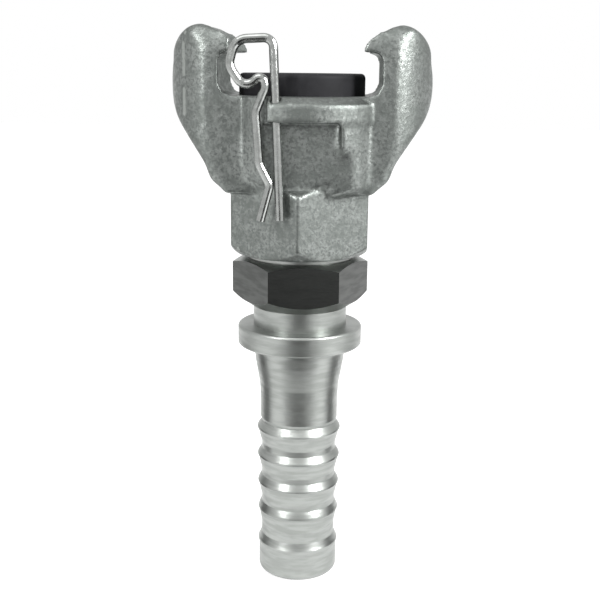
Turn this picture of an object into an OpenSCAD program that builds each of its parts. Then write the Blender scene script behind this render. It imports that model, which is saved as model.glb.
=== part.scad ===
// Claw hose coupling: a two-claw coupling head with a face gasket, a barbed
// hose stem screwed into it, and a wire safety clip in the head's ledge.
// Millimetres, +Z up, origin at the centre of the stem's lower end face.

/* [Hose stem] */
// Radius of the waterway through the stem
stem_bore_r = 7.0; // [5:0.1:7.6]
// Radius of the plain land at the hose end
land_r = 9.9; // [9.7:0.05:10.4]
// Height of the plain land at the hose end
land_h = 8.2; // [6:0.1:9]
// Rounding at the outer corner of the hose end
end_round = 1.3; // [0.5:0.1:2]
// Number of barbs
barb_count = 5; // [3:1:5]
// Distance from one barb to the next
barb_pitch = 7.2; // [6.6:0.1:7.4]
// Radius at the tip of the highest barb
barb_r = 10.45; // [10.2:0.05:11]
// Radius at the root between two barbs
root_r = 9.3; // [9:0.05:9.5]
// Height of the sloping lower side of a barb
barb_slope_h = 3.9; // [3:0.1:4.5]
// Height of the rounded shoulder above a barb's tip
barb_shoulder_h = 1.3; // [0.8:0.1:1.8]
// Radius of the plain shank above the barbs
shank_r = 9.62; // [9.5:0.05:9.8]
// Height at which the shank starts to flare
flare_z = 46; // [44:0.5:48]
// Radius at the top of the flare, under the collar
flare_r = 11.2; // [10.8:0.1:12]
// Height of the collar's lower face
collar_z = 60.2; // [58:0.1:62]
// Radius of the collar
collar_r = 15.2; // [14:0.1:16]
// Thickness of the collar
collar_h = 5.0; // [4:0.1:6]
// Radius of the neck between collar and hexagon
neck_r = 11.4; // [11:0.1:12]
// Length of the neck
neck_h = 4.7; // [4:0.1:6]

/* [Stem hexagon] */
// Width across the flats of the stem's hexagon
nut_af = 28.6; // [27:0.1:30]
// Height of the stem's hexagon
nut_h = 12.0; // [10:0.1:14]
// Turn of the hexagon about the axis, in degrees
nut_turn = 5.6; // [0:0.1:30]
// Rise of the lower chamfer cone, from the neck to the corners
nut_cone_h = 3.4; // [2:0.1:4.5]
// Height of the upper chamfer at the corners
nut_chamfer_h = 1.3; // [0.6:0.1:2]

/* [Pipe thread] */
// Gap between the stem's hexagon and the head
thread_gap = 1.3; // [0.6:0.1:3]
// Thread radius at the lower edge of the head
thread_r = 13.3; // [12.6:0.05:13.6]
// Length of thread inside the head
thread_len = 13.5; // [10:0.5:14]
// Loss of radius over the length of the thread
thread_taper = 0.42; // [0:0.02:0.6]
// Clearance of the plain cones that stand for the threads
thread_play = 0.05; // [0.02:0.01:0.1]

/* [Head casting] */
// Width across the flats of the head's hexagon
base_af = 32.0; // [30:0.1:33]
// Height of the head's hexagon under its body
base_h = 16.0; // [14:0.1:18]
// Height of the hexagon's corners above the foot of the body
base_lip_h = 1.0; // [0.4:0.1:2]
// Height of the turned chamfer at the lower edge
base_chamfer_h = 2.6; // [1:0.1:3]
// Radius of the turned lower face
base_face_r = 15.6; // [14.6:0.1:15.8]
// How far the stop's round face stands back from the ledge's edge
stop_inset = 0.4; // [0.2:0.1:1.5]
// Depth of the flat front and back panels behind the ledge's edge
panel_depth = 4.8; // [4.2:0.1:5.4]
// Radius of the ledge that the mating claws hook under
ledge_r = 21.0; // [20.2:0.1:21.5]
// Thickness of the ledge at its edge
ledge_h = 3.85; // [3:0.05:5]
// Height of the bevel above the ledge's edge
bevel_h = 1.7; // [1:0.05:2.5]
// Width of the bevel, measured inwards
bevel_w = 2.6; // [1:0.1:4]
// Height of the body from the hexagon up to the ledge
body_h = 15.65; // [14:0.05:17]
// Free end of the ledge, left of the axis
ledge_left = 6.9; // [6.5:0.1:8]
// Face of the stop under the ledge, right of the axis
stop_x = 9.4; // [8:0.1:11]
// Height of the stop below the ledge
stop_h = 5.0; // [3:0.1:7]
// Radius of the waterway in the head
head_bore_r = 9.5; // [8:0.1:10]

/* [Claws] */
// Largest reach of a claw from the axis
claw_reach = 30.5; // [29:0.1:32]
// Half width of a claw, from its middle to each end face
claw_half_w = 13.0; // [12:0.1:14]
// Plan radius of a claw's rounded back
claw_plan_r = 13.9; // [13.5:0.1:16]
// Clearance between the ledge's edge and the groove inside a claw
groove_play = 1.1; // [0.6:0.1:2]
// How far a claw's tip reaches inside the ledge's edge
tip_overlap = 2.1; // [1:0.1:2.4]
// Length of the tip that is cut back at a claw's leading corner
lead_in_w = 3.3; // [1:0.1:5]
// Height of a claw's underside above the sealing face of the body
hook_gap = 9.6; // [9:0.1:11]
// Height of a claw's nose above its underside
hook_h = 6.3; // [5:0.1:8]
// Rounding of the claws' upper corners, seen from the end
claw_round = 6; // [2:0.5:8]
// Radius of the claws' back, seen from the side
claw_back_r = 16; // [15:0.5:18]
// Radius over the top of the claws, seen from the side
claw_crown_r = 8.5; // [7:0.1:9.5]

/* [Gasket] */
// Outer radius of the face gasket
gasket_r = 14.8; // [14:0.1:15.2]
// Inner radius of the face gasket
gasket_bore_r = 8.6; // [8:0.1:10]
// Height of the gasket above the face of the body
gasket_rise = 5.0; // [4:0.1:6]
// Depth of the gasket's pocket in the body
gasket_seat = 4.0; // [3:0.1:6]
// Rounding of the gasket's upper edge
gasket_round = 1.1; // [0.4:0.1:1.6]
// Clearance around the seated gasket
gasket_play = 0.05; // [0:0.01:0.2]

/* [Safety clip] */
// Diameter of the clip's wire
wire_d = 2.0; // [1.6:0.05:2.2]
// Radius of the clip's hole in the ledge
clip_hole_r = 1.05; // [0.95:0.01:1.6]
// Distance of the clip's hole to the left of the axis
clip_x = 4.8; // [4.4:0.1:5.6]
// Distance of the clip's hole behind the ledge's edge
clip_inset = 2.5; // [2.2:0.1:2.8]
// Lean of the clip's straight leg, in degrees
clip_lean = 2.4; // [1:0.1:3]

/* [Hidden] */
$fn = 96;
eps = 0.01;

// heights up the stem
first_tip_z = land_h + barb_shoulder_h;
last_tip_z = first_tip_z + (barb_count - 1) * barb_pitch;
barb_growth = (barb_r - land_r) / barb_count;
neck_z = collar_z + collar_h;
nut_z = neck_z + neck_h;
nut_top = nut_z + nut_h;
nut_corner_r = nut_af / 2 / cos(30);

// heights up the head
head_z = nut_top + thread_gap;
base_top = head_z + base_h;
base_corner_r = base_af / 2 / cos(30);
ledge_z = base_top + body_h;
face_z = ledge_z + ledge_h + bevel_h;
hook_z = face_z + hook_gap;
claw_top = hook_z + hook_h;
thread_top = head_z + thread_len;
head_face_r = ledge_r - bevel_w;
groove_r = ledge_r + groove_play;
tip_r = ledge_r - tip_overlap;
inner_neck_r = tip_r - 0.6;
stop_r = ledge_r - stop_inset;
panel_y = ledge_r - panel_depth;
clip_y = ledge_r - clip_inset;
stop_angle = -acos((stop_x - 0.8) / stop_r);
claw_angle = -asin(claw_half_w / groove_r) + 4;
claw_side_angle = asin(claw_half_w / groove_r) - 6;

// a point at radius r and angle a
function at(r, a) = [r * cos(a), r * sin(a)];

// points of an arc about a centre, from angle a to angle b
function arc(cx, cy, r, a, b, n = 8) = [for (i = [0:n]) [cx, cy] + at(r, a + (b - a) * i / n)];

// the same thing again on the other side of the axis
module both_sides() {
    for (turn = [0, 180])
        rotate([0, 0, turn]) children();
}

// a turned solid from radius and height pairs
module turned(points) {
    rotate_extrude() polygon(points);
}

// a solid that spans a range of angles, from the axis outwards
module sector(from, to, r, z0, z1) {
    translate([0, 0, z0])
        linear_extrude(z1 - z0)
            polygon(concat([[0, 0]], [for (i = [0:8]) at(r, from + (to - from) * i / 8)]));
}

// one barb: a slope up to its tip and a rounded shoulder back to the root
function barb(i) =
    let (z = first_tip_z + i * barb_pitch, r = land_r + 0.2 + barb_growth * i * 0.8)
    [[root_r, z - barb_slope_h], [r - 0.25, z - 0.5], [r, z], [r - 0.12, z + 0.4],
     [root_r + 0.35, z + barb_shoulder_h], [root_r, z + barb_shoulder_h + 0.6]];

// half outline of the stem below its hexagon
function stem_outline() = concat(
    [[0, 0], [land_r - end_round, 0]],
    arc(land_r - end_round, end_round, end_round, -90, 0, 6),
    [[land_r, land_h - 1.2], [land_r + 0.2, land_h - 0.5], [land_r + 0.2, land_h],
     [land_r - 0.1, land_h + 0.6], [root_r, land_h + barb_shoulder_h + 0.5]],
    [for (i = [1:barb_count - 1]) each barb(i)],
    [[shank_r, last_tip_z + barb_pitch * 0.4], [shank_r, flare_z],
     [shank_r + 0.22, flare_z + 4], [shank_r + 0.8, flare_z + 7.3],
     [shank_r + 1.25, flare_z + 9.9], [flare_r, flare_z + 12.4], [flare_r, collar_z],
     [collar_r - 0.4, collar_z], [collar_r, collar_z + 0.4]],
    arc(collar_r - 0.7, neck_z - 0.7, 0.7, 0, 90, 5),
    [[neck_r, neck_z], [neck_r, nut_z + eps], [0, nut_z + eps]]);

module hose_stem() {
    color([0.72, 0.73, 0.71])
    difference() {
        union() {
            turned(stem_outline());
            intersection() {
                translate([0, 0, nut_z])
                    rotate([0, 0, nut_turn])
                        cylinder(r = nut_corner_r, h = nut_h, $fn = 6);
                turned([[0, nut_z - 1], [neck_r, nut_z - 1], [neck_r, nut_z],
                        [nut_corner_r, nut_z + nut_cone_h],
                        [nut_corner_r, nut_top - nut_chamfer_h],
                        [nut_af / 2 - 0.9, nut_top], [0, nut_top]]);
            }
            turned([[0, nut_top - 1], [thread_r - 0.5, nut_top - 1],
                    [thread_r - 0.5, head_z - 0.3], [thread_r, head_z],
                    [thread_r - thread_taper, thread_top - 1],
                    [thread_r - thread_taper - 0.8, thread_top], [0, thread_top]]);
        }
        translate([0, 0, -1]) cylinder(r = stem_bore_r, h = thread_top + 2);
    }
}

// hexagonal base, turned off at its lower edge and at its upper corners
module head_base() {
    intersection() {
        translate([0, 0, head_z])
            rotate([0, 0, 30])
                cylinder(r = base_corner_r, h = base_h + base_lip_h, $fn = 6);
        turned([[0, head_z], [base_face_r, head_z],
                [base_corner_r + 0.1, head_z + base_chamfer_h + 0.1],
                [base_corner_r + 0.1, base_top - base_lip_h],
                [base_af / 2 - 0.2, base_top + base_lip_h], [0, base_top + base_lip_h]]);
    }
}

// round body between the base and the ledge, narrow enough for a claw to pass
module head_body() {
    turned([[0, base_top - 3], [base_af / 2 - 0.6, base_top - 3], [base_af / 2 - 0.6, base_top],
            [inner_neck_r - 0.7, base_top + 2.2], [inner_neck_r, base_top + 4.4],
            [inner_neck_r, ledge_z + 1], [0, ledge_z + 1]]);
}

// block that fills the space under the ledge, from the stop to the next claw
module stop_block() {
    intersection() {
        sector(stop_angle, claw_angle, ledge_r + 5, base_top - 2, ledge_z + 1);
        turned(concat([[0, base_top - 2], [base_af / 2 - 0.8, base_top - 2]],
            arc(stop_r - 3, base_top + 2.6, 3, -60, 0, 5),
            [[stop_r, ledge_z + 2], [0, ledge_z + 2]]));
    }
}

// flat panel below the ledge, with the stop left standing under the ledge's end
module panel_cut() {
    difference() {
        translate([-inner_neck_r, -ledge_r - 5, base_top - 4])
            cube([2 * inner_neck_r, ledge_r + 5 - panel_y, body_h + 6]);
        translate([stop_x, 0, 0])
            rotate([90, 0, 90])
                linear_extrude(ledge_r)
                    polygon([[-panel_y, ledge_z - stop_h - 2], [-ledge_r - 6, ledge_z - stop_h + 2.5],
                             [-ledge_r - 6, ledge_z + 3], [-panel_y, ledge_z + 3]]);
    }
}

// open side of the ledge, where the mating claw comes down
module ledge_notch() {
    difference() {
        translate([0, 0, base_top + 8])
            linear_extrude(face_z + 1 - base_top - 8)
                polygon([[-ledge_left, 0], at(ledge_r + 3, 180 + claw_side_angle),
                         [-ledge_r - 3, -ledge_r - 3], [-ledge_left, -ledge_r - 3]]);
        translate([0, 0, base_top]) cylinder(r = inner_neck_r, h = face_z);
    }
}

// ledge with its bevel and the sealing face
module ledge_ring() {
    turned([[0, ledge_z], [ledge_r, ledge_z], [ledge_r, ledge_z + ledge_h],
            [head_face_r, face_z], [0, face_z]]);
}

// outline of a claw seen from the side: foot, slope, round back and crown
claw_back_z = face_z + 2.4;
function claw_side() = concat(
    [[0, base_top - 1], [16.4, base_top - 0.8], [18.4, base_top + 0.6], [20.3, base_top + 2],
     [21.0, base_top + 3.6], [21.3, base_top + 5.2], [22.4, base_top + 7]],
    arc(claw_reach - claw_back_r, claw_back_z, claw_back_r, -38, 20, 10),
    arc(claw_reach - claw_crown_r - 0.5, claw_top - claw_crown_r, claw_crown_r, 14, 90, 10),
    [[tip_r - 8, claw_top], [0, claw_top]]);

// both claws, still solid inside, as wide as a claw and rounded in plan
module claw_blank() {
    intersection() {
        rotate([90, 0, 0])
            translate([0, 0, -claw_half_w])
                linear_extrude(2 * claw_half_w)
                    union() {
                        polygon(claw_side());
                        mirror([1, 0]) polygon(claw_side());
                    }
        translate([0, 0, base_top - 4])
            linear_extrude(claw_top - base_top + 8)
                union() {
                    square([2 * (claw_reach - claw_plan_r), 2 * claw_half_w], center = true);
                    for (side = [-1, 1])
                        translate([side * (claw_reach - claw_plan_r), 0]) circle(claw_plan_r);
                }
    }
}

// end view of a claw: square below, rounded off at its upper corners
module claw_end_view() {
    rotate([90, 0, 90])
        translate([0, 0, -claw_reach - 1])
            linear_extrude(2 * claw_reach + 2)
                polygon(concat([[-claw_half_w, base_top - 5], [claw_half_w, base_top - 5]],
                    arc(claw_half_w - claw_round, claw_top + 0.6 - claw_round, claw_round, 0, 70, 8),
                    arc(claw_round - claw_half_w, claw_top + 0.6 - claw_round, claw_round, 110, 180, 8)));
}

// space inside the claws: rounded nose at the tips, wider groove below them
module claw_hollow() {
    turned([[0, face_z], [groove_r - 2.4, face_z], [groove_r - 0.8, face_z + 0.6],
            [groove_r, face_z + 2.4], [groove_r, hook_z - 1.8], [groove_r - 0.5, hook_z - 0.5],
            [groove_r - 1.4, hook_z], [tip_r, hook_z], [tip_r + 0.2, hook_z + 1.5],
            [tip_r + 1.2, hook_z + 3.2], [tip_r + 3.3, hook_z + 5.5], [tip_r + 5.6, claw_top],
            [tip_r + 5.6, claw_top + 1], [0, claw_top + 1]]);
}

// slanting cut that shortens one corner of a claw's tip
module lead_in() {
    translate([0, 0, hook_z - 1])
        linear_extrude(hook_h + 3)
            polygon([[-tip_r, -2], [-tip_r - 0.2, -claw_half_w * 0.5],
                     [-tip_r + lead_in_w, -claw_half_w - 0.1], [0, -claw_half_w - 3], [0, -2]]);
}

module claw_head() {
    color([0.58, 0.60, 0.57])
    difference() {
        union() {
            head_base();
            difference() {
                union() {
                    difference() {
                        union() {
                            head_body();
                            both_sides() stop_block();
                        }
                        both_sides() panel_cut();
                    }
                    ledge_ring();
                }
                both_sides() ledge_notch();
            }
            intersection() {
                claw_blank();
                claw_end_view();
            }
        }
        claw_hollow();
        both_sides() lead_in();
        translate([0, 0, -1]) cylinder(r = head_bore_r, h = face_z + 2);
        translate([0, 0, face_z - gasket_seat])
            cylinder(r = gasket_r + gasket_play, h = gasket_seat + 1);
        turned([[0, head_z - 1], [thread_r + thread_play, head_z - 1],
                [thread_r + thread_play, head_z],
                [thread_r - thread_taper + thread_play, thread_top + 1],
                [0, thread_top + 3]]);
        both_sides() clip_axis() translate([0, 0, -ledge_h])
            cylinder(r = clip_hole_r, h = ledge_h * 2 + bevel_h * 2, $fn = 48);
    }
}

module face_gasket() {
    color([0.10, 0.10, 0.11])
    turned(concat([[gasket_bore_r, face_z - gasket_seat], [gasket_r, face_z - gasket_seat]],
        arc(gasket_r - gasket_round, face_z + gasket_rise - gasket_round, gasket_round, 0, 90, 6),
        [[gasket_bore_r, face_z + gasket_rise]]));
}

// frame whose z axis runs up the clip's straight leg, from the ledge's underside
module clip_axis() {
    translate([-clip_x, -clip_y, ledge_z]) rotate([0, -clip_lean, 0]) children();
}

function unit(v) = v / norm(v);
function heading(v) = atan2(v[1], v[0]);
function turn_angle(a, b) =
    let (t = heading(b) - heading(a)) t > 180 ? t - 360 : t < -180 ? t + 360 : t;
function corner(p, i) = [p[i][0], p[i][1]];

// turn of the wire at a corner, in degrees
function turn_at(p, i) = turn_angle(corner(p, i) - corner(p, i - 1), corner(p, i + 1) - corner(p, i));

// distance from a corner to where its bend starts
function bend_run(p, i) = p[i][2] * tan(abs(turn_at(p, i)) / 2);

// middle line of one bend, as positions with their headings
function bend(p, i, n = 7) =
    let (before = unit(corner(p, i) - corner(p, i - 1)),
         turn = turn_at(p, i),
         side = turn > 0 ? 1 : -1,
         start = corner(p, i) - before * bend_run(p, i),
         middle = start + [-before[1], before[0]] * side * p[i][2])
    [for (k = [0:n])
        let (a = heading(before) + turn * k / n)
        concat(middle + at(p[i][2], a - side * 90), [a])];

// middle line of the wire from its first point to its last, as positions with headings
function wire_line(p) = concat(
    [concat(corner(p, 0), [heading(corner(p, 1) - corner(p, 0))])],
    [for (i = [1:len(p) - 2]) each bend(p, i)],
    [concat(corner(p, len(p) - 1), [heading(corner(p, len(p) - 1) - corner(p, len(p) - 2))])]);

// round wire swept along a line that lies in the x-y plane
module bent_wire(line, r, sides = 16) {
    rings = [for (q = line) for (k = [0:sides - 1])
        let (out = r * cos(k * 360 / sides))
        [q[0] - out * sin(q[2]), q[1] + out * cos(q[2]), r * sin(k * 360 / sides)]];
    last = (len(line) - 1) * sides;
    polyhedron(rings, concat(
        [[for (k = [0:sides - 1]) k]],
        [for (j = [0:len(line) - 2]) for (k = [0:sides - 1])
            [j * sides + k, (j + 1) * sides + k,
             (j + 1) * sides + (k + 1) % sides, j * sides + (k + 1) % sides]],
        [[for (k = [0:sides - 1]) last + sides - 1 - k]]));
}

// clip outline in its own plane, measured from the hole along the straight leg
leg_down = 21.6;
leg_up = 15.5;
clip_path = [[0, leg_up - 0.3, 0], [0, 18.1, 2.1], [-8.2, 18.0, 3.4], [-9.9, 12.6, 3.6],
    [-6.6, 7.2, 2.3], [-2.45, 10.9, 1.15], [-2.1, 7.6, 2.5], [-4.5, 2.4, 4.0],
    [-4.1, -9.0, 3.0], [-1.9, -13.6, 2.2], [-4.4, -leg_down, 0]];

module safety_clip() {
    color([0.80, 0.81, 0.80])
    clip_axis() {
        translate([0, 0, -leg_down]) cylinder(d = wire_d, h = leg_down + leg_up, $fn = 48);
        rotate([90, 0, 0]) bent_wire(wire_line(clip_path), wire_d / 2 * 0.995);
    }
}

claw_head();
face_gasket();
hose_stem();
safety_clip();
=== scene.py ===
"""Claw hose coupling: finishes, rounded casting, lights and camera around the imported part."""
from math import cos, pi, radians, sin
import bpy
from mathutils import Matrix, Vector


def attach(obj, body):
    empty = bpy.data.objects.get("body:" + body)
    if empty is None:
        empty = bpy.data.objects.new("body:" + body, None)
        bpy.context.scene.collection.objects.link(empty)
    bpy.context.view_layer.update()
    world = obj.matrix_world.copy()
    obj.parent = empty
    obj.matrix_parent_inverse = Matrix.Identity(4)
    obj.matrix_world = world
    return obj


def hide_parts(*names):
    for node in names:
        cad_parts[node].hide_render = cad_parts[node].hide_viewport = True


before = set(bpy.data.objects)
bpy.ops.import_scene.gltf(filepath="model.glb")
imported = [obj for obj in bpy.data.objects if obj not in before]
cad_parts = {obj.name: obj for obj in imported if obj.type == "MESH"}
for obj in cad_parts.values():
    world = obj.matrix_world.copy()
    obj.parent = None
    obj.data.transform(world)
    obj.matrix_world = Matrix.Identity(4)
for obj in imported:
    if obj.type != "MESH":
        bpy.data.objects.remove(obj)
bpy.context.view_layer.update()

mm = 0.001

# view of the photograph
camera_height = 126.3 * mm
camera_distance = 240.3 * mm
camera_azimuth = radians(2.5)
camera_pitch = radians(13.0)
camera_roll = radians(0.6)
lens_mm = 60.0

# casting
casting_voxel = 0.42 * mm
casting_soften_passes = 3
edge_soften_passes = 50
root_soften_passes = 40
stop_soften_passes = 40

# zones of the casting that are softened, in millimetres: pairs say where the softening is full and where it ends
claw_inner = 16.0
claw_foot = 99.5
body_round = 21.3
crown = 136.4
rounded_band = (4.0, 7.5)
root_top = (108.0, 113.5)
root_foot = (100.2, 99.0)
root_inner = (9.5, 8.0)
root_radius = 15.5
stop_outer = (13.5, 15.5)
stop_inner = (7.0, 5.0)
stop_top = (112.5, 114.3)
stop_foot = (98.6, 97.4)
stop_depth = 13.5

# heights of the stem's hexagon
hexagon_low = 69.9 * mm
hexagon_high = 81.9 * mm


def deselect_all():
    for thing in bpy.context.selected_objects:
        thing.select_set(False)


def make_active(piece):
    deselect_all()
    piece.select_set(True)
    bpy.context.view_layer.objects.active = piece


def apply_modifier(piece, kind, **settings):
    make_active(piece)
    modifier = piece.modifiers.new(kind.title(), kind)
    for name, value in settings.items():
        setattr(modifier, name, value)
    bpy.ops.object.modifier_apply(modifier=modifier.name)


def new_material(name, base, metallic, roughness):
    material = bpy.data.materials.new(name)
    material.use_nodes = True
    shader = material.node_tree.nodes["Principled BSDF"]
    shader.inputs["Base Color"].default_value = (*base, 1)
    shader.inputs["Metallic"].default_value = metallic
    shader.inputs["Roughness"].default_value = roughness
    return material, shader


class Group:
    """A shader node group under construction, with short calls for its nodes and links."""

    def __init__(self, name, inputs, outputs):
        self.tree = bpy.data.node_groups.new(name, "ShaderNodeTree")
        for label, kind in inputs:
            self.tree.interface.new_socket(label, in_out="INPUT", socket_type=kind)
        for label, kind in outputs:
            self.tree.interface.new_socket(label, in_out="OUTPUT", socket_type=kind)
        self.inputs = self.tree.nodes.new("NodeGroupInput").outputs
        self.outputs = self.tree.nodes.new("NodeGroupOutput").inputs

    def link(self, source, target):
        self.tree.links.new(source, target)

    def node(self, kind, settings=(), values=()):
        return add_node(self.tree, kind, settings, values)


def add_node(tree, kind, settings=(), values=()):
    """Adds a node; a value that is a socket is linked, any other is set."""
    node = tree.nodes.new(kind)
    for name, value in dict(settings).items():
        setattr(node, name, value)
    for name, value in dict(values).items():
        if isinstance(value, bpy.types.NodeSocket):
            tree.links.new(value, node.inputs[name])
        else:
            node.inputs[name].default_value = value
    return node


def calc(tree, operation, *values):
    """Result of a math node on numbers or sockets."""
    return add_node(tree, "ShaderNodeMath", {"operation": operation}, dict(enumerate(values))).outputs[0]


def ramp(group, source, low, high, low_value=0.0, high_value=1.0):
    """Smooth step of a value between two limits."""
    return group.node("ShaderNodeMapRange", {"interpolation_type": "SMOOTHSTEP"},
                      {"Value": source, "From Min": low, "From Max": high,
                       "To Min": low_value, "To Max": high_value}).outputs[0]


def build_cast_grain():
    """Sand-cast skin in object space: patches of tone and grains of three sizes."""
    group = Group("cast grain", [("Vector", "NodeSocketVector")],
                  [("Height", "NodeSocketFloat"), ("Mottle", "NodeSocketFloat"), ("Speckle", "NodeSocketFloat")])
    point = group.inputs["Vector"]
    layers = {}
    for name, scale, detail in (("patch", 90.0, 3.0), ("grain", 650.0, 5.0), ("speckle", 1500.0, 2.0)):
        layers[name] = group.node("ShaderNodeTexNoise", values={"Vector": point, "Scale": scale, "Detail": detail,
                                                               "Roughness": 0.6}).outputs[0]
    fine = calc(group.tree, "MULTIPLY_ADD", layers["speckle"], 0.20, layers["grain"])
    group.link(fine, group.outputs["Height"])
    mottle = calc(group.tree, "MULTIPLY_ADD", layers["patch"], 0.8, layers["grain"])
    group.link(ramp(group, mottle, 0.70, 1.12), group.outputs["Mottle"])
    group.link(ramp(group, layers["speckle"], 0.34, 0.56), group.outputs["Speckle"])
    return group.tree


def build_wear_and_edge_highlight():
    """Mask of raised edges from the mesh's pointiness: rubbed wear, and a painted highlight along the edges."""
    group = Group("wear and edge highlight", [], [("Mask", "NodeSocketFloat")])
    point = group.node("ShaderNodeNewGeometry").outputs["Pointiness"]
    group.link(ramp(group, point, 0.54, 0.62, 0.0, 0.65), group.outputs["Mask"])
    return group.tree


def build_lathe_marks():
    """Fine turning rings about the z axis, with a faint wander."""
    group = Group("lathe marks", [("Vector", "NodeSocketVector")],
                  [("Height", "NodeSocketFloat"), ("Tone", "NodeSocketFloat")])
    stretched = group.node("ShaderNodeMapping", values={"Vector": group.inputs["Vector"],
                                                        "Scale": (60.0, 60.0, 6000.0)}).outputs[0]
    rings = group.node("ShaderNodeTexNoise", values={"Vector": stretched, "Scale": 1.0, "Detail": 3.0}).outputs[0]
    broad_map = group.node("ShaderNodeMapping", values={"Vector": group.inputs["Vector"],
                                                        "Scale": (160.0, 160.0, 900.0)}).outputs[0]
    broad = group.node("ShaderNodeTexNoise", values={"Vector": broad_map, "Scale": 1.0, "Detail": 4.0}).outputs[0]
    group.link(rings, group.outputs["Height"])
    group.link(ramp(group, broad, 0.35, 0.65), group.outputs["Tone"])
    return group.tree


def build_hexagon_mask():
    """Mask of the stem hexagon's flats, from height and from the normal's slope."""
    group = Group("hexagon mask", [("Vector", "NodeSocketVector")], [("Mask", "NodeSocketFloat")])
    height = group.node("ShaderNodeSeparateXYZ", values={"Vector": group.inputs["Vector"]}).outputs["Z"]
    low = ramp(group, height, hexagon_low, hexagon_low + 1.5 * mm)
    high = ramp(group, height, hexagon_high, hexagon_high + 0.4 * mm, 1.0, 0.0)
    normal = group.node("ShaderNodeTexCoord").outputs["Normal"]
    rise = group.node("ShaderNodeSeparateXYZ", values={"Vector": normal}).outputs["Z"]
    slope = calc(group.tree, "ABSOLUTE", rise)
    upright = ramp(group, slope, 0.15, 0.35, 1.0, 0.0)
    banded = calc(group.tree, "MULTIPLY", low, high)
    mask = calc(group.tree, "MULTIPLY", banded, upright)
    group.link(mask, group.outputs["Mask"])
    return group.tree


cast_grain = build_cast_grain()
hexagon_mask = build_hexagon_mask()
wear_and_edge_highlight = build_wear_and_edge_highlight()
lathe_marks = build_lathe_marks()


def place_group(tree, group, values=()):
    return add_node(tree, "ShaderNodeGroup", {"node_tree": group}, values)


def mix_colour(tree, factor, first, second):
    node = tree.nodes.new("ShaderNodeMix")
    node.data_type = "RGBA"
    tree.links.new(factor, node.inputs["Factor"])
    for name, value in (("A", first), ("B", second)):
        socket = [s for s in node.inputs if s.name == name and s.type == "RGBA"][0]
        if isinstance(value, bpy.types.NodeSocket):
            tree.links.new(value, socket)
        else:
            socket.default_value = (*value, 1)
    return [s for s in node.outputs if s.type == "RGBA"][0]


def add_bump(tree, shader, height, strength, distance):
    bump = add_node(tree, "ShaderNodeBump", values={"Height": height, "Strength": strength,
                                                    "Distance": distance})
    tree.links.new(bump.outputs[0], shader.inputs["Normal"])
    return bump


def range_value(tree, source, low, high):
    """Spreads a 0 to 1 mask over low to high."""
    return add_node(tree, "ShaderNodeMapRange", values={"Value": source, "To Min": low, "To Max": high}).outputs[0]


def cast_zinc_material():
    material, shader = new_material("cast zinc", (0.30, 0.31, 0.30), 0.92, 0.42)
    tree = material.node_tree
    place = tree.nodes.new("ShaderNodeTexCoord").outputs["Object"]
    grain = place_group(tree, cast_grain, {"Vector": place})
    wear_and_highlight = place_group(tree, wear_and_edge_highlight)
    toned = mix_colour(tree, grain.outputs["Mottle"], (0.124, 0.135, 0.127), (0.221, 0.235, 0.225))
    speckled = mix_colour(tree, grain.outputs["Speckle"], (0.12, 0.13, 0.123), toned)
    # raised edges painted lighter: partly rubbed wear, partly a painted highlight along the edges
    worn_and_highlit = mix_colour(tree, wear_and_highlight.outputs["Mask"], speckled, (0.34, 0.36, 0.34))
    tree.links.new(worn_and_highlit, shader.inputs["Base Color"])
    tree.links.new(range_value(tree, grain.outputs["Mottle"], 0.50, 0.36), shader.inputs["Roughness"])
    add_bump(tree, shader, grain.outputs["Height"], 0.5, 0.22 * mm)
    return material


def turned_zinc_material():
    """Turned surfaces are satin; the drawn flats of the hexagon are smoother, and their darker colour is a painted
    dark reflection.
    """
    material, shader = new_material("turned zinc", (0.60, 0.61, 0.60), 1.0, 0.36)
    tree = material.node_tree
    place = tree.nodes.new("ShaderNodeTexCoord").outputs["Object"]
    marks = place_group(tree, lathe_marks, {"Vector": place})
    toned = mix_colour(tree, marks.outputs["Tone"], (0.268, 0.281, 0.268), (0.318, 0.331, 0.318))
    flats = place_group(tree, hexagon_mask, {"Vector": place}).outputs["Mask"]
    # painted dark reflection: the hexagon's flats are coloured dark to stand in for the dark surroundings they
    # mirror
    flats_painted_dark = mix_colour(tree, marks.outputs["Tone"], (0.064, 0.067, 0.064), (0.09, 0.094, 0.09))
    tree.links.new(mix_colour(tree, flats, toned, flats_painted_dark), shader.inputs["Base Color"])
    satin = range_value(tree, marks.outputs["Tone"], 0.40, 0.33)
    smooth = calc(tree, "MULTIPLY_ADD", flats, -0.04, satin)
    tree.links.new(smooth, shader.inputs["Roughness"])
    add_bump(tree, shader, marks.outputs["Height"], 0.2, 0.02 * mm)
    return material


def rubber_material():
    material, shader = new_material("gasket rubber", (0.018, 0.018, 0.02), 0.0, 0.55)
    tree = material.node_tree
    place = tree.nodes.new("ShaderNodeTexCoord").outputs["Object"]
    noise = add_node(tree, "ShaderNodeTexNoise", values={"Vector": place, "Scale": 400.0, "Detail": 5.0})
    toned = mix_colour(tree, noise.outputs[0], (0.006, 0.006, 0.007), (0.020, 0.020, 0.022))
    shader.inputs["Specular IOR Level"].default_value = 0.12
    tree.links.new(toned, shader.inputs["Base Color"])
    tree.links.new(range_value(tree, noise.outputs[0], 0.45, 0.7), shader.inputs["Roughness"])
    add_bump(tree, shader, noise.outputs[0], 0.3, 0.1 * mm)
    return material


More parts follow.
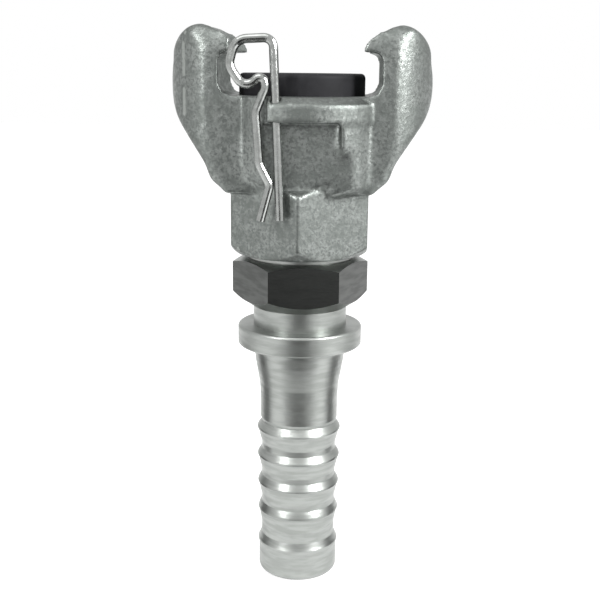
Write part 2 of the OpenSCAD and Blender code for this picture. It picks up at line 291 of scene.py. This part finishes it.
def wire_material():
    material, shader = new_material("clip wire", (0.50, 0.51, 0.50), 1.0, 0.2)
    tree = material.node_tree
    place = tree.nodes.new("ShaderNodeTexCoord").outputs["Object"]
    noise = add_node(tree, "ShaderNodeTexNoise", values={"Vector": place, "Scale": 900.0, "Detail": 3.0})
    tree.links.new(range_value(tree, noise.outputs[0], 0.10, 0.26), shader.inputs["Roughness"])
    toned = mix_colour(tree, noise.outputs[0], (0.22, 0.23, 0.22), (0.42, 0.43, 0.42))
    tree.links.new(toned, shader.inputs["Base Color"])
    add_bump(tree, shader, noise.outputs[0], 0.12, 0.02 * mm)
    return material


def set_material(piece, material):
    if piece.material_slots:
        for slot in piece.material_slots:
            slot.material = material
    else:
        piece.data.materials.append(material)


# side outline of a claw: height and reach from the axis, from foot to crown
claw_outline = [(98.0, 18.0), (101.2, 20.3), (106.2, 22.4), (112.9, 27.1), (117.0, 29.4), (122.8, 30.5),
                (128.5, 29.9), (132.5, 27.6), (135.0, 24.5), (crown, 21.0)]


def outline_reach(height):
    """Reach of the claws' outer side at a height, in millimetres."""
    for (low, near), (high, far) in zip(claw_outline, claw_outline[1:]):
        if height <= high:
            return near + (far - near) * max(0.0, height - low) / (high - low)
    return claw_outline[-1][1]


def fade(value, full, none):
    """1 at one limit, 0 at the other, straight between them."""
    return min(1.0, max(0.0, (none - value) / (none - full)))


def edge_weight(x, y, z):
    """How much a point belongs to a claw's rounded outer edges."""
    if abs(x) < claw_inner or z < claw_foot or (x * x + y * y) ** 0.5 < body_round:
        return 0.0
    behind = min(outline_reach(z) - abs(x), (crown - z) * 0.8 + 1.0)
    return fade(behind, *rounded_band)


def root_weight(x, y, z):
    """How much a point belongs to the filleted roots between claws, body and base."""
    if (x * x + y * y) ** 0.5 <= root_radius:
        return 0.0
    return fade(z, *root_top) * fade(z, *root_foot) * fade(abs(x), *root_inner)


def stop_weight(x, y, z):
    """How much a point belongs to a stop, its foot and the panel's edge; the head repeats after half a turn."""
    if abs(y) <= stop_depth:
        return 0.0
    side = -x if y > 0 else x
    across = fade(side, *stop_outer) * fade(side, *stop_inner)
    return across * fade(z, *stop_top) * fade(z, *stop_foot)


def soften(piece, name, weight, passes):
    """Smooths the part of a mesh that a weight function picks out."""
    group = piece.vertex_groups.new(name=name)
    for vertex in piece.data.vertices:
        amount = weight(*(vertex.co / mm))
        if amount > 0:
            group.add([vertex.index], amount, "REPLACE")
    apply_modifier(piece, "SMOOTH", factor=0.5, iterations=passes, vertex_group=name)
    piece.vertex_groups.clear()


def rounded_casting():
    """The head as it leaves the mould: the frame's solid with every edge softened."""
    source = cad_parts["claw_head"]
    casting = bpy.data.objects.new("head_casting", source.data.copy())
    bpy.context.scene.collection.objects.link(casting)
    casting.matrix_world = source.matrix_world.copy()
    make_active(casting)
    bpy.ops.object.transform_apply(location=True, rotation=True, scale=True)
    apply_modifier(casting, "WELD", merge_threshold=0.002 * mm)
    apply_modifier(casting, "REMESH", mode="VOXEL", voxel_size=casting_voxel)
    soften(casting, "claw edges", edge_weight, edge_soften_passes)
    soften(casting, "claw roots", root_weight, root_soften_passes)
    soften(casting, "stops", stop_weight, stop_soften_passes)
    apply_modifier(casting, "SMOOTH", factor=0.5, iterations=casting_soften_passes)
    make_active(casting)
    bpy.ops.object.shade_smooth()
    return casting


casting = rounded_casting()
set_material(casting, cast_zinc_material())
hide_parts("claw_head")
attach(casting, "coupling")
set_material(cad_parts["hose_stem"], turned_zinc_material())
set_material(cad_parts["face_gasket"], rubber_material())
set_material(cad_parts["safety_clip"], wire_material())


# level of the studio wall's light by direction: degrees to the right of the camera, level
studio_wall = [(-180, 0.8), (-155, 0.7), (-130, 0.22), (-105, 0.30), (-85, 0.7), (-38, 0.88), (-24, 0.40),
               (0, 0.34), (24, 0.40), (38, 0.85), (85, 0.85), (105, 0.35), (130, 0.20), (155, 0.7)]
studio_ceiling = 0.9
floor_glow = 0.62       # brings the floor's grey up to the background's white


def background_rays(tree):
    """1 for the rays that see the white background: camera, glossy and transmission rays."""
    paths = tree.nodes.new("ShaderNodeLightPath").outputs
    seen = calc(tree, "MAXIMUM", paths["Is Camera Ray"], paths["Is Glossy Ray"])
    return calc(tree, "MAXIMUM", seen, paths["Is Transmission Ray"])


def add_floor():
    bpy.ops.mesh.primitive_plane_add(size=4.0, location=(0, 0, 0))
    floor = bpy.context.object
    floor.name = "floor"
    material, shader = new_material("floor white", (0.6, 0.6, 0.6), 0.0, 0.9)
    tree = material.node_tree
    strength = calc(tree, "MULTIPLY", background_rays(tree), floor_glow)
    tree.links.new(strength, shader.inputs["Emission Strength"])
    shader.inputs["Emission Color"].default_value = (1, 1, 1, 1)
    floor.data.materials.append(material)


def add_world():
    """Studio wall with bright and dark parts that lights the coupling; camera and metal see white."""
    world = bpy.data.worlds.new("studio")
    bpy.context.scene.world = world
    world.use_nodes = True
    tree = world.node_tree
    background = tree.nodes["Background"]
    direction = tree.nodes.new("ShaderNodeTexCoord").outputs["Generated"]
    parts = add_node(tree, "ShaderNodeSeparateXYZ", values={"Vector": direction}).outputs
    forward = calc(tree, "MULTIPLY", parts["Y"], -1.0)
    turn = calc(tree, "ARCTAN2", parts["X"], forward)
    around = add_node(tree, "ShaderNodeMapRange", values={"Value": turn, "From Min": -pi, "From Max": pi}).outputs[0]
    wall = tree.nodes.new("ShaderNodeValToRGB")
    tree.links.new(around, wall.inputs[0])
    stops = wall.color_ramp.elements
    for index, (angle, level) in enumerate(studio_wall):
        stop = stops[index] if index < 2 else stops.new(1.0)
        stop.position = (angle + 180) / 360
        stop.color = (level, level, level, 1)
    high = add_node(tree, "ShaderNodeMapRange", {"interpolation_type": "SMOOTHSTEP"},
                    {"Value": parts["Z"], "From Min": 0.5, "From Max": 0.8}).outputs[0]
    shell = mix_colour(tree, high, wall.outputs[0], (studio_ceiling,) * 3)
    seen = mix_colour(tree, background_rays(tree), shell, (1.0, 1.0, 1.0))
    tree.links.new(seen, background.inputs["Color"])


def add_card(name, middle, size, turn):
    """Dark card beside, before or under the coupling, seen only in its reflections."""
    bpy.ops.mesh.primitive_plane_add(size=1.0, location=middle)
    card = bpy.context.object
    card.name = name
    card.scale = (size[0], size[1], 1)
    card.rotation_euler = turn
    material, shader = new_material(name, (0.01, 0.01, 0.01), 0.0, 0.9)
    card.data.materials.append(material)
    card.visible_camera = False
    card.visible_shadow = False
    card.visible_diffuse = False


def add_lamp(name, place, target, size, power):
    data = bpy.data.lights.new(name, "AREA")
    data.shape = "RECTANGLE"
    data.size, data.size_y = size
    data.energy = power
    lamp = bpy.data.objects.new(name, data)
    bpy.context.scene.collection.objects.link(lamp)
    lamp.location = place
    lamp.rotation_euler = (Vector(target) - Vector(place)).to_track_quat("-Z", "Y").to_euler()
    return lamp


def add_camera():
    data = bpy.data.cameras.new("camera")
    data.sensor_width = 36.0
    data.lens = lens_mm
    data.clip_start = 0.01
    camera = bpy.data.objects.new("camera", data)
    bpy.context.scene.collection.objects.link(camera)
    look = Matrix.Rotation(camera_azimuth, 4, "Z") @ Matrix.Rotation(pi / 2 - camera_pitch, 4, "X")
    roll = Matrix.Rotation(camera_roll, 4, "Z")
    place = Vector((sin(camera_azimuth) * camera_distance, -cos(camera_azimuth) * camera_distance,
                    camera_height))
    camera.matrix_world = Matrix.Translation(place) @ look @ roll
    bpy.context.scene.camera = camera


add_floor()
add_world()
add_card("front card", (0.02, -0.32, 0.033), (0.20, 0.066), (pi / 2, 0, 0))
add_card("floor card", (0.01, -0.19, 0.001), (0.18, 0.24), (0, 0, 0))
add_card("left card", (-0.075, 0.02, 0.02), (0.05, 0.04), (pi / 2, 0, pi / 2))
add_card("right card", (0.075, 0.02, 0.02), (0.05, 0.04), (pi / 2, 0, pi / 2))
add_lamp("top box", (-0.1, -0.15, 0.6), (0, 0, 0.08), (0.4, 0.4), 1.1)
add_lamp("right strip", (0.26, -0.16, 0.25), (0.02, 0, 0.13), (0.07, 0.18), 1.8)
add_lamp("left strip", (-0.20, -0.22, 0.24), (-0.02, 0, 0.13), (0.04, 0.20), 0.7)
add_camera()
bpy.context.scene.view_settings.view_transform = "Standard"
